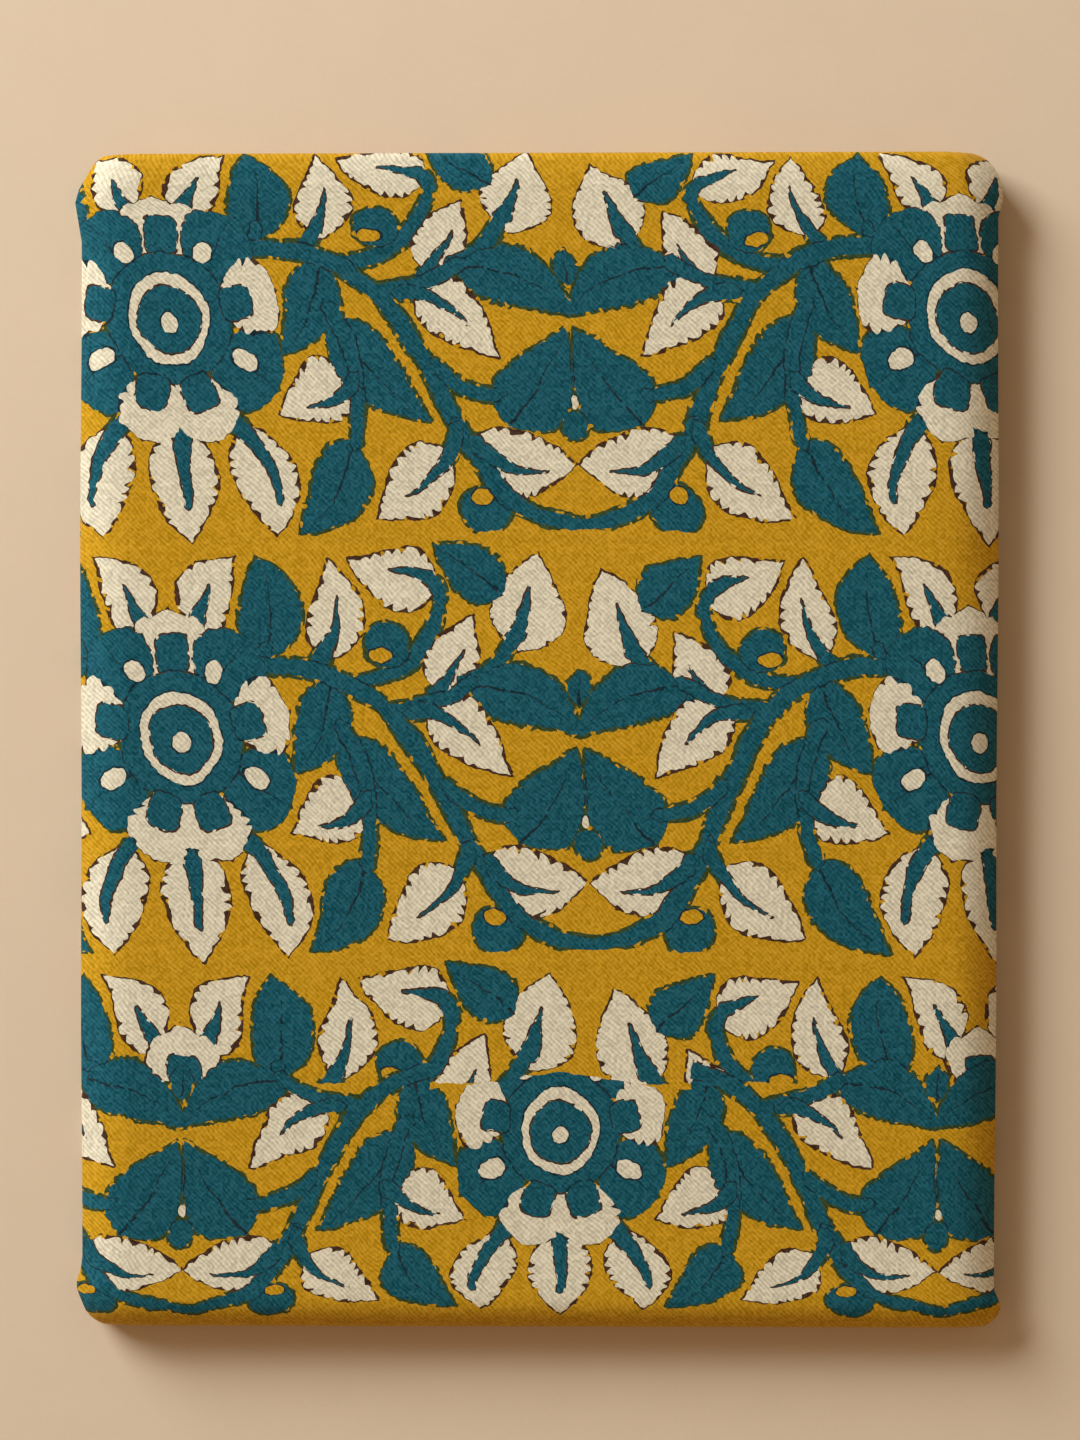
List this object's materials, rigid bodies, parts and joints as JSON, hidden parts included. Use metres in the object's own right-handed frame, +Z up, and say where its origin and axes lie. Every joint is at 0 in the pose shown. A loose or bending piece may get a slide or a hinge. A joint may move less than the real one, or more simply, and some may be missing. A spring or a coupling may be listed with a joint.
{
  "type": "folded printed dress fabric",
  "caption": "Flat rectangular pack of coarse printed cotton, a dress length folded in four across its width and back and forth along its length.",
  "frame": {"origin": "middle of the pack's underside, at the middle of its bounding box seen from above", "axes": "+X across the pack towards its right side as pictured, +Y along the pack towards the stacked folds at its far end, +Z up from the underside"},
  "size_m": [0.2832, 0.3588, 0.0192],
  "materials": {
    "printed_cotton": "matt coarse plain weave, mustard ground block-printed in teal, cream and dark brown"
  },
  "bodies": {
    "root": {"folded_cloth": "printed_cotton"}
  },
  "joints": []
}
